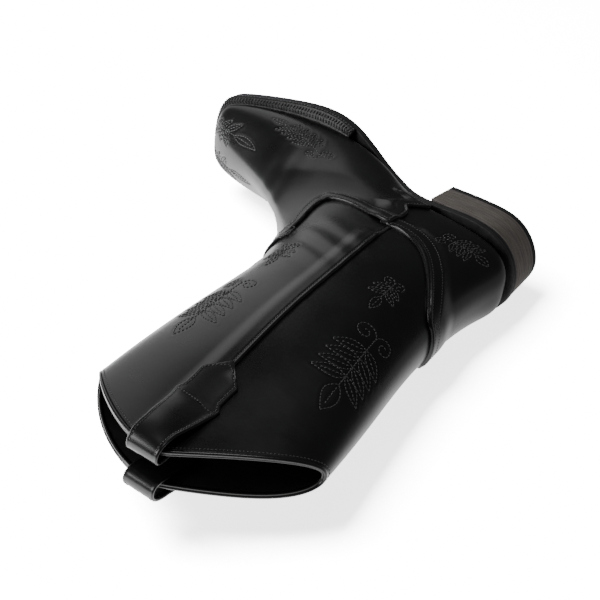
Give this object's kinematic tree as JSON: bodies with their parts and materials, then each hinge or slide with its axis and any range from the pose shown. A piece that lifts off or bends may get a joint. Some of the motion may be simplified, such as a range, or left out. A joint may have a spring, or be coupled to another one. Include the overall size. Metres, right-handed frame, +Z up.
{
  "type": "cowboy boot",
  "caption": "Right-foot pull-on cowboy boot with a tall scalloped shaft, pull straps, a storm welt and a stacked heel.",
  "frame": {"origin": "on the ground, at the middle of the boot's bounding box seen from above", "axes": "+Z up the shaft, -Y towards the toe, -X towards the outer (lateral) side of the right foot"},
  "size_m": [0.0911, 0.3214, 0.3805],
  "materials": {
    "upper_leather": "smooth glossy black",
    "lining_leather": "soft matte black",
    "stiffener": "moulded stiffener sheet, matte",
    "insole_board": "undyed leather board, matte",
    "sock_leather": "matte dark brown-black",
    "shank_steel": "rolled steel",
    "cork": "ground cork, matte",
    "welt_leather": "waxed black, stitched",
    "outsole_rubber": "smooth black edge, fine grain tread",
    "nail_steel": "plain steel",
    "top_lift_rubber": "matte black",
    "stacked_leather": "stacked grey-brown layers, satin"
  },
  "bodies": {
    "root": {"shaft_front": "upper_leather", "shaft_back": "upper_leather", "vamp": "upper_leather", "counter_cover": "upper_leather", "pull_strap_lateral": "upper_leather", "pull_strap_medial": "upper_leather", "top_beading_front": "upper_leather", "top_beading_back": "upper_leather", "shaft_lining_front": "lining_leather", "shaft_lining_back": "lining_leather", "vamp_lining": "lining_leather", "heel_lining": "lining_leather", "toe_puff": "stiffener", "heel_counter": "stiffener", "insole": "insole_board", "sock_liner": "sock_leather", "shank": "shank_steel", "bottom_filler": "cork", "welt": "welt_leather", "outsole": "outsole_rubber", "heel_nails": "nail_steel", "heel_top_lift": "top_lift_rubber", "heel_lift_1": "stacked_leather", "heel_lift_2": "stacked_leather", "heel_lift_3": "stacked_leather", "heel_lift_4": "stacked_leather", "heel_lift_5": "stacked_leather", "heel_lift_6": "stacked_leather", "heel_lift_7": "stacked_leather"}
  },
  "joints": []
}
